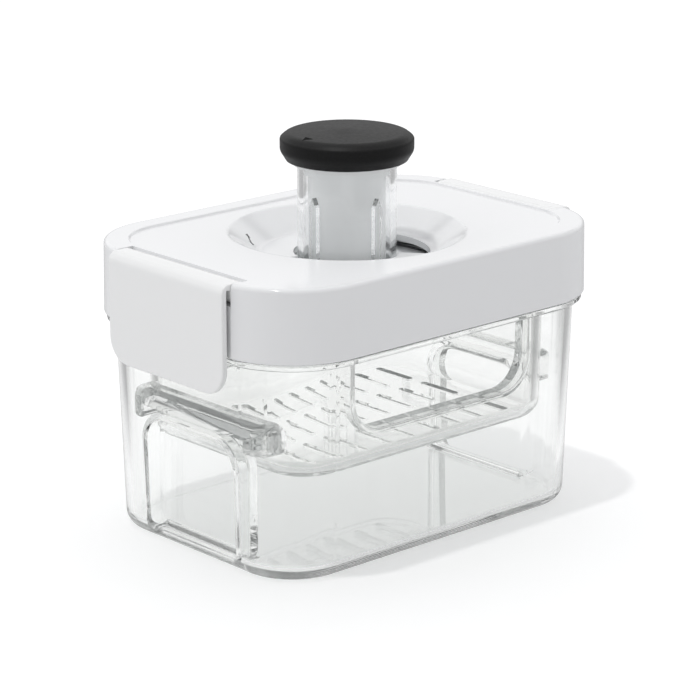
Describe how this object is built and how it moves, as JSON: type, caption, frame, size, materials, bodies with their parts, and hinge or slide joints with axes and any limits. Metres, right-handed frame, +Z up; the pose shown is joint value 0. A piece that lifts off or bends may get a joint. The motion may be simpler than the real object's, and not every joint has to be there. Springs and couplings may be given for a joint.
{
  "type": "tofu press",
  "caption": "Clear container with a drainage basket and a white latched lid; a spring-loaded plunger with a twist lock presses the block.",
  "frame": {"origin": "under the middle of the container's base, on the plane that it stands on", "axes": "+X along the length towards the right latch, +Y across the width to the back, +Z up along the plunger"},
  "size_m": [0.1772, 0.1228, 0.1498],
  "materials": {
    "clear_container": "clear moulded plastic, polished",
    "clear_basket": "clear moulded plastic, polished",
    "white_lid": "glossy white plastic",
    "white_collar": "light grey slippery plastic",
    "screw_steel": "plated steel",
    "seat_plastic": "light grey plastic",
    "pin_steel": "stainless steel",
    "white_latch": "glossy white plastic",
    "white_plate": "white plastic",
    "washer_steel": "stainless steel",
    "spring_steel": "stainless spring wire",
    "clear_stem": "clear moulded plastic, polished",
    "white_foot": "white plastic",
    "white_core": "white plastic",
    "black_grip": "soft matt black rubber"
  },
  "bodies": {
    "container": {"outer_container": "clear_container"},
    "basket": {"inner_basket": "clear_basket"},
    "lid": {"lid_shell": "white_lid", "guide_collar": "white_collar", "collar_screws": "screw_steel", "spring_seat": "seat_plastic", "hinge_pins": "pin_steel", "press_spring": "spring_steel"},
    "latch_right": {"latch_right": "white_latch"},
    "latch_left": {"latch_left": "white_latch"},
    "plunger": {"press_plate": "white_plate", "swivel_washer": "washer_steel", "swivel_screw": "screw_steel"},
    "knob": {"stem_tube": "clear_stem", "stem_foot": "white_foot", "knob_core": "white_core", "knob_grip": "black_grip"}
  },
  "joints": [
    {"name": "lid_lift", "type": "slide", "parent": "container", "child": "lid", "axis": [0, 0, 1], "range_m": [0, 0.15]},
    {"name": "basket_lift", "type": "slide", "parent": "container", "child": "basket", "axis": [0, 0, 1], "range_m": [0, 0.075]},
    {"name": "latch_right_swing", "type": "hinge", "parent": "lid", "child": "latch_right", "pos_m": [0.0805, 0, 0.1075], "axis": [0, -1, 0], "range_deg": [0, 80]},
    {"name": "latch_left_swing", "type": "hinge", "parent": "lid", "child": "latch_left", "pos_m": [-0.0805, 0, 0.1075], "axis": [0, 1, 0], "range_deg": [0, 80]},
    {"name": "plunger_slide", "type": "slide", "parent": "lid", "child": "plunger", "axis": [0, 0, -1], "range_m": [0, 0.022], "deforming": ["press_spring"]},
    {"name": "knob_twist", "type": "hinge", "parent": "plunger", "child": "knob", "pos_m": [0, 0, 0.09], "axis": [0, 0, 1], "range_deg": [0, 40]}
  ],
  "couplings": [
    {"joint": "basket_lift", "follows": "lid_lift", "ratio": 0.5}
  ]
}
